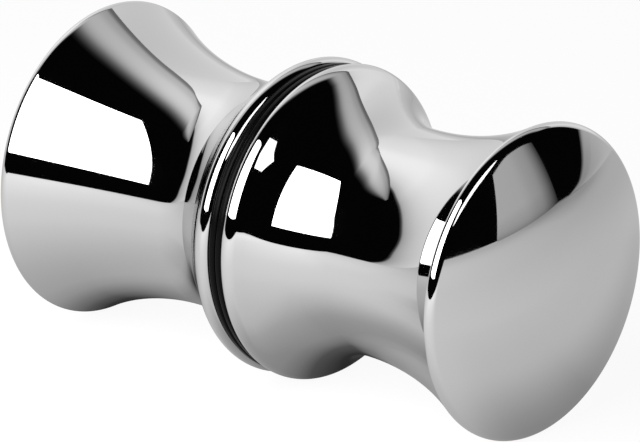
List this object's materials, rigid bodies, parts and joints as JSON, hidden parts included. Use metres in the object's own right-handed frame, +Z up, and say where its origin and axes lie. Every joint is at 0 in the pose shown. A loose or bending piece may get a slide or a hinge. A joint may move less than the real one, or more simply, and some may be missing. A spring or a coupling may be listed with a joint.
{
  "type": "shower door handle",
  "caption": "Back-to-back shower door handle: chrome-plated hourglass knobs with crowned ends and black rubber gaskets, drawn together through the glass by a threaded stud.",
  "frame": {"origin": "centre of the hole in the door glass: on the stud's axis, midway between the gaskets", "axes": "+Y along the stud from the room side to the shower side, +Z up, +X to the right seen from the room"},
  "size_m": [0.032, 0.0628, 0.032],
  "materials": {
    "chrome_plate": "polished chrome plate on turned brass",
    "black_rubber": "matte moulded rubber",
    "zinc_steel": "bright zinc plate",
    "natural_nylon": "natural nylon"
  },
  "bodies": {
    "root": {"outer_knob": "chrome_plate", "inner_knob": "chrome_plate", "outer_gasket": "black_rubber", "inner_gasket": "black_rubber", "clamp_stud": "zinc_steel", "hole_sleeve": "natural_nylon"}
  },
  "joints": []
}
